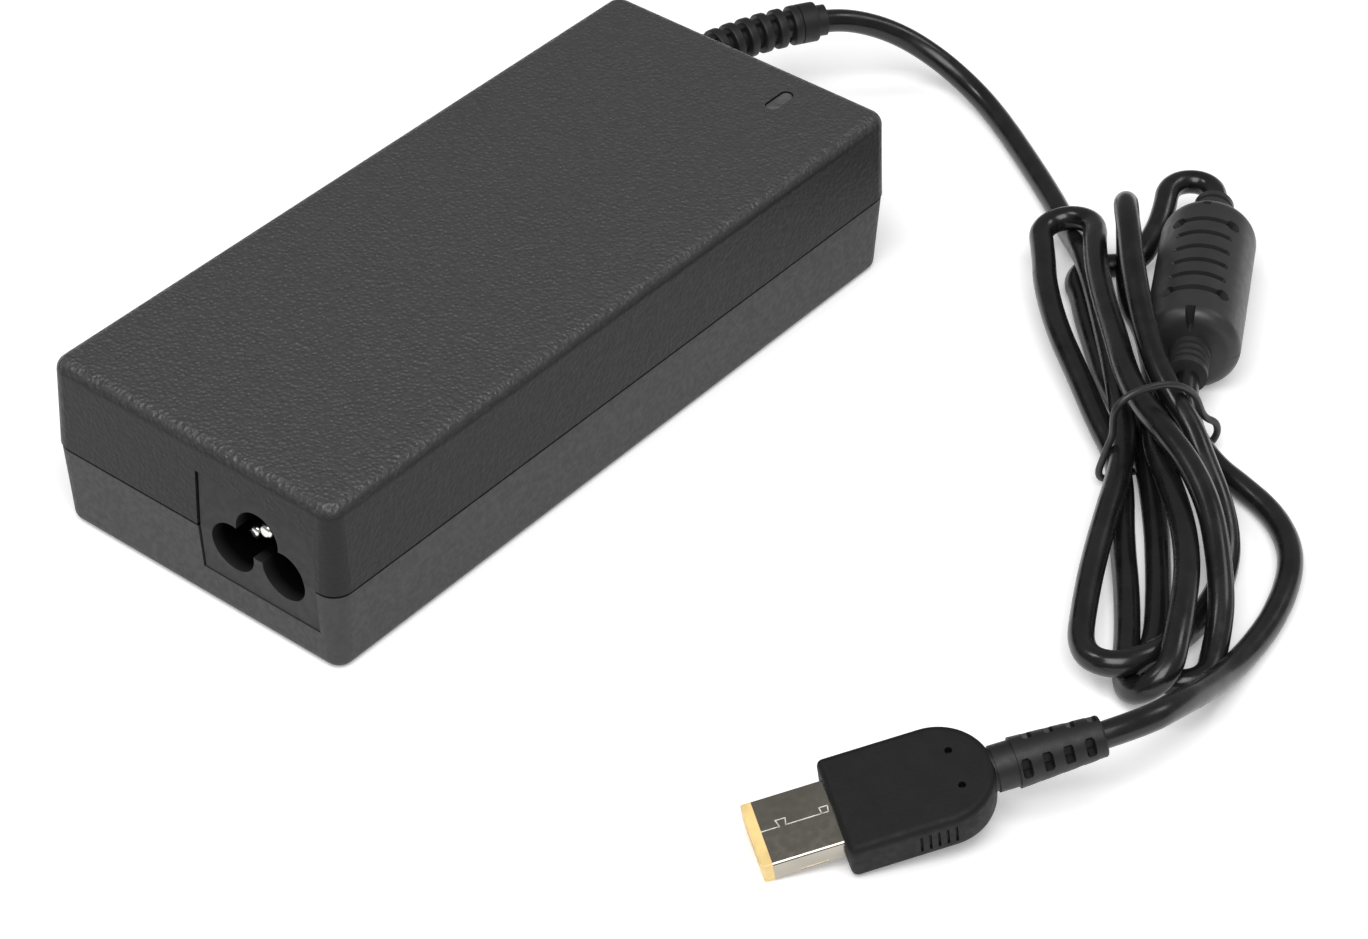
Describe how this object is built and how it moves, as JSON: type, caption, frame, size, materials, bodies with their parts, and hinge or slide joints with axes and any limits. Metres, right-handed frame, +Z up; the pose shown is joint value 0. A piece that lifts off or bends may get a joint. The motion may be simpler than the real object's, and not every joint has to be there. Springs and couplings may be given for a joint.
{
  "type": "laptop power adapter",
  "caption": "Slab-shaped laptop power adapter with a cloverleaf mains inlet, status light, captive output cord folded in a tied hank, ferrite choke and rectangular plug.",
  "frame": {"origin": "centre of the case's bottom face, on the surface that the case stands on", "axes": "+X along the case from the mains inlet end to the output cord end, +Z up out of the face with the status light"},
  "size_m": [0.1642, 0.1482, 0.0276],
  "materials": {
    "board_laminate": "glass fibre laminate",
    "bobbin_plastic": "phenolic moulding",
    "box_capacitor_yellow": "moulded box",
    "capacitor_sleeve": "shrink sleeve",
    "case_bottom": "fine moulded grain, charcoal",
    "case_top": "coarse moulded grain, charcoal",
    "ceramic_white": "glazed ceramic",
    "choke_plastic": "satin vinyl",
    "contact_gold": "gold flash",
    "copper_wire": "enamelled copper",
    "cord_jacket": "glossy vinyl",
    "disc_coating_blue": "dipped coating",
    "disc_coating_green": "dipped coating",
    "ferrite_black": "sintered ferrite",
    "inlet_plastic": "smooth moulded, near black",
    "insulating_film": "plain film",
    "insulator_plastic": "moulded insulator",
    "label_film": "blank satin film",
    "led_resin": "diffused resin",
    "light_pipe_resin": "smoky translucent resin",
    "package_epoxy": "epoxy package",
    "pin_metal": "polished nickel plate",
    "plug_metal": "polished nickel plate",
    "plug_plastic": "fine matte grain",
    "relief_plastic": "satin vinyl",
    "screw_steel": "zinc plated",
    "spreader_aluminium": "mill finish sheet",
    "tape_yellow": "polyester tape",
    "tie_plastic": "satin coated wire",
    "tip_plastic": "warm yellow moulding",
    "wire_insulation": "vinyl insulation"
  },
  "bodies": {
    "root": {"boost_inductor_core": "ferrite_black", "boost_inductor_winding": "copper_wire", "bottom_cover": "case_bottom", "bottom_heat_spreader": "spreader_aluminium", "bridge_rectifier": "package_epoxy", "bulk_capacitor": "capacitor_sleeve", "cable_tie": "tie_plastic", "choke_ferrite_core": "ferrite_black", "choke_lead": "cord_jacket", "choke_overmold": "choke_plastic", "circuit_board": "board_laminate", "controller_chip": "package_epoxy", "cord_hank": "cord_jacket", "fuse": "ceramic_white", "heat_sink_screws": "screw_steel", "indicator_led": "led_resin", "inlet_earth_pin": "pin_metal", "inlet_housing": "inlet_plastic", "inlet_line_pin": "pin_metal", "inlet_neutral_pin": "pin_metal", "inlet_wires": "wire_insulation", "inrush_thermistor": "disc_coating_green", "insulating_sheet": "insulating_film", "light_pipe": "light_pipe_resin", "line_filter_core": "ferrite_black", "line_filter_windings": "copper_wire", "optocoupler": "package_epoxy", "output_capacitors": "capacitor_sleeve", "output_cord": "cord_jacket", "output_inductor": "ferrite_black", "output_inductor_winding": "copper_wire", "output_rectifier": "package_epoxy", "output_strain_relief": "relief_plastic", "output_wires": "wire_insulation", "plug_contacts": "contact_gold", "plug_insulator": "insulator_plastic", "plug_lead": "cord_jacket", "plug_overmold": "plug_plastic", "plug_shell": "plug_metal", "plug_strain_relief": "relief_plastic", "plug_tip": "tip_plastic", "power_transistors": "package_epoxy", "primary_heat_sink": "spreader_aluminium", "rating_label": "label_film", "secondary_heat_sink": "spreader_aluminium", "surge_varistor": "disc_coating_blue", "top_cover": "case_top", "top_heat_spreader": "spreader_aluminium", "transformer_bobbin": "bobbin_plastic", "transformer_core": "ferrite_black", "transformer_tape": "tape_yellow", "transformer_windings": "copper_wire", "x_capacitor": "box_capacitor_yellow", "y_capacitors": "disc_coating_blue"}
  },
  "joints": []
}
